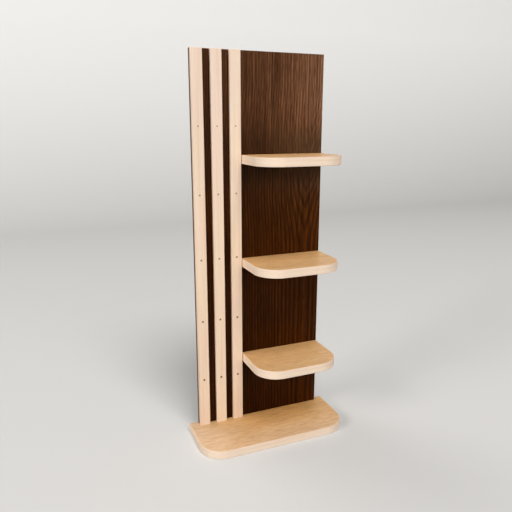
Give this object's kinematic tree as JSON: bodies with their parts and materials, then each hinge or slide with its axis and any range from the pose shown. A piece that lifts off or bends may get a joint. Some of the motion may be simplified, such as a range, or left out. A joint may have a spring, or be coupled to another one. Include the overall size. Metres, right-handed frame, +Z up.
{
  "type": "slatted wall shelf",
  "caption": "Tall narrow wall shelf: a dark back panel with pale upright slats down one side, rounded shelves cantilevered from the other, and a wider base.",
  "frame": {"origin": "on the ground under the middle of the whole shelf, level with the base's underside", "axes": "+X to the right as seen from the front, +Y into the wall, +Z up; the shelves reach towards -Y"},
  "size_m": [0.335, 0.132, 0.818],
  "materials": {
    "panel_veneer": "dark walnut veneer, satin",
    "panel_edge_band": "dark walnut band, satin",
    "slat_wood": "pale planed wood, satin lacquer",
    "board_veneer": "light oak veneer, satin lacquer",
    "board_edge_band": "pale wood band, satin lacquer",
    "dowel_wood": "bare beech",
    "screw_steel": "yellow zinc plate",
    "hanger_steel": "bright zinc plate",
    "pin_metal": "brown lacquered steel"
  },
  "bodies": {
    "root": {"back_panel": "panel_veneer", "base_shelf": "board_veneer", "base_edge_band": "board_edge_band", "panel_edge_band_left": "panel_edge_band", "panel_edge_band_right": "panel_edge_band", "panel_edge_band_top": "panel_edge_band", "slat_left": "slat_wood", "slat_pins_left": "pin_metal", "slat_middle": "slat_wood", "slat_pins_middle": "pin_metal", "slat_right": "slat_wood", "slat_pins_right": "pin_metal", "shelf_lower": "board_veneer", "shelf_edge_band_lower": "board_edge_band", "shelf_dowels_lower": "dowel_wood", "shelf_screws_lower": "screw_steel", "shelf_middle": "board_veneer", "shelf_edge_band_middle": "board_edge_band", "shelf_dowels_middle": "dowel_wood", "shelf_screws_middle": "screw_steel", "shelf_upper": "board_veneer", "shelf_edge_band_upper": "board_edge_band", "shelf_dowels_upper": "dowel_wood", "shelf_screws_upper": "screw_steel", "base_dowels": "dowel_wood", "base_screws": "screw_steel", "hanger_plate_left": "hanger_steel", "hanger_screws_left": "screw_steel", "hanger_plate_right": "hanger_steel", "hanger_screws_right": "screw_steel"}
  },
  "joints": []
}
